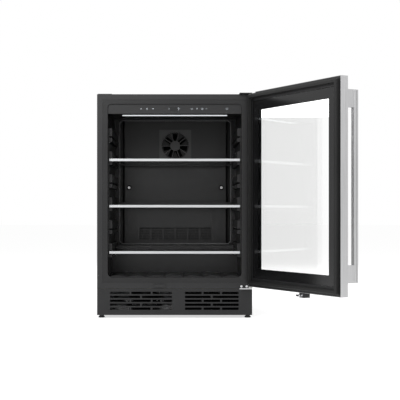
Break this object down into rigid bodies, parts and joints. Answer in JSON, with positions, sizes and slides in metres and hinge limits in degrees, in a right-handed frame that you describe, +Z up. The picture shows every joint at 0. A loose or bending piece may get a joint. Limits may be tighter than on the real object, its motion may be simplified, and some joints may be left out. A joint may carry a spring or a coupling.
{
  "type": "mini fridge",
  "caption": "Under-counter drinks fridge with an open glass door, sliding glass shelves, levelling feet, key lock and cooling machinery.",
  "frame": {"origin": "centre of the cabinet base's flat underside; the levelling feet reach 11 mm below it to the floor", "axes": "+Z up, the front with the door faces -Y, +X to the right of someone who faces the front"},
  "size_m": [0.9189, 1.0792, 0.8632],
  "materials": {
    "black_sheet": "satin black enamel",
    "liner_plastic": "fine-grained black moulding",
    "fascia_plastic": "satin dark grey",
    "foam": "rigid foamed-in-place insulation",
    "door_foam": "foam-filled door profile",
    "zinc_sheet": "zinc-coated sheet",
    "black_plastic": "satin black moulding",
    "fin_metal": "thin fins on drawn tube",
    "bright_steel": "zinc-plated",
    "board": "varnished circuit board",
    "smoked_window": "smoked glossy window",
    "lens": "lit white diffuser",
    "black_rubber": "matt black rubber",
    "copper": "drawn copper tube",
    "clear_glass": "clear toughened glass",
    "bright_trim": "bright anodised",
    "brushed_metal": "vertically brushed stainless",
    "spacer_metal": "mill finish",
    "white_plastic": "natural acetal",
    "chrome": "polished"
  },
  "bodies": {
    "cabinet": {"cabinet_wrapper": "black_sheet", "liner": "liner_plastic", "insulation": "foam", "rear_panel": "zinc_sheet", "compartment_sheet": "zinc_sheet", "base_pan": "black_sheet", "shelf_rail_left": "liner_plastic", "shelf_rail_right": "liner_plastic", "evaporator_cover": "liner_plastic", "fan_grille": "black_plastic", "evaporator_coil": "fin_metal", "evaporator_fan_motor": "black_plastic", "cover_screws": "bright_steel", "temperature_sensor": "black_plastic", "control_box": "black_plastic", "control_board": "board", "control_fascia": "fascia_plastic", "display_window": "smoked_window", "led_lens": "lens", "kick_plate": "black_sheet", "compressor": "black_sheet", "compressor_grommets": "black_rubber", "start_relay": "black_plastic", "condenser_coil": "fin_metal", "condenser_fan_motor": "black_plastic", "filter_drier": "copper", "refrigerant_pipes": "copper", "drip_tray": "black_plastic", "service_cover": "zinc_sheet", "service_screws": "bright_steel", "cord_gland": "black_rubber", "hinge_top": "black_sheet", "hinge_bottom": "bright_steel", "hinge_screws": "bright_steel", "hinge_hole_cover": "black_plastic", "lock_strike": "black_sheet"},
    "door": {"door_metal_frame": "brushed_metal", "door_core": "door_foam", "door_inner_frame": "black_plastic", "glass_outer": "clear_glass", "glass_inner": "clear_glass", "glass_spacer": "spacer_metal", "door_gasket": "black_rubber", "handle_bar": "brushed_metal", "handle_posts": "brushed_metal", "hinge_bushes": "white_plastic", "lock_body": "black_plastic"},
    "lock_cylinder": {"lock_cylinder": "chrome"},
    "evaporator_fan": {"evaporator_fan": "black_plastic"},
    "condenser_fan": {"condenser_fan": "black_plastic"},
    "foot_front_left": {"foot_front_left": "black_plastic"},
    "foot_front_right": {"foot_front_right": "black_plastic"},
    "foot_rear_left": {"foot_rear_left": "black_plastic"},
    "foot_rear_right": {"foot_rear_right": "black_plastic"},
    "shelf_top": {"shelf_top_glass": "clear_glass", "shelf_top_trims": "bright_trim"},
    "shelf_middle": {"shelf_middle_glass": "clear_glass", "shelf_middle_trims": "bright_trim"},
    "shelf_bottom": {"shelf_bottom_glass": "clear_glass", "shelf_bottom_trims": "bright_trim"}
  },
  "joints": [
    {"name": "door_hinge", "type": "hinge", "parent": "cabinet", "child": "door", "pos_m": [0.29, -0.2831, 0.48], "axis": [0, 0, 1], "range_deg": [-117.4, 0]},
    {"name": "lock_turn", "type": "hinge", "parent": "door", "child": "lock_cylinder", "pos_m": [0.46092, -0.58481, 0.101], "axis": [0.8878, 0.4602, 0], "range_deg": [0, 90]},
    {"name": "evaporator_fan_spin", "type": "hinge", "parent": "cabinet", "child": "evaporator_fan", "pos_m": [0, 0.181, 0.676], "axis": [0, 1, 0], "continuous": true},
    {"name": "condenser_fan_spin", "type": "hinge", "parent": "cabinet", "child": "condenser_fan", "pos_m": [0.14375, -0.145, 0.0495], "axis": [0, 1, 0], "continuous": true},
    {"name": "foot_front_left_height", "type": "slide", "parent": "cabinet", "child": "foot_front_left", "axis": [0, 0, -1], "range_m": [0, 0.01]},
    {"name": "foot_front_right_height", "type": "slide", "parent": "cabinet", "child": "foot_front_right", "axis": [0, 0, -1], "range_m": [0, 0.01]},
    {"name": "foot_rear_left_height", "type": "slide", "parent": "cabinet", "child": "foot_rear_left", "axis": [0, 0, -1], "range_m": [0, 0.01]},
    {"name": "foot_rear_right_height", "type": "slide", "parent": "cabinet", "child": "foot_rear_right", "axis": [0, 0, -1], "range_m": [0, 0.01]},
    {"name": "shelf_top_slide", "type": "slide", "parent": "cabinet", "child": "shelf_top", "axis": [0, -1, 0], "range_m": [0, 0.25]},
    {"name": "shelf_middle_slide", "type": "slide", "parent": "cabinet", "child": "shelf_middle", "axis": [0, -1, 0], "range_m": [0, 0.25]},
    {"name": "shelf_bottom_slide", "type": "slide", "parent": "cabinet", "child": "shelf_bottom", "axis": [0, -1, 0], "range_m": [0, 0.15]}
  ]
}
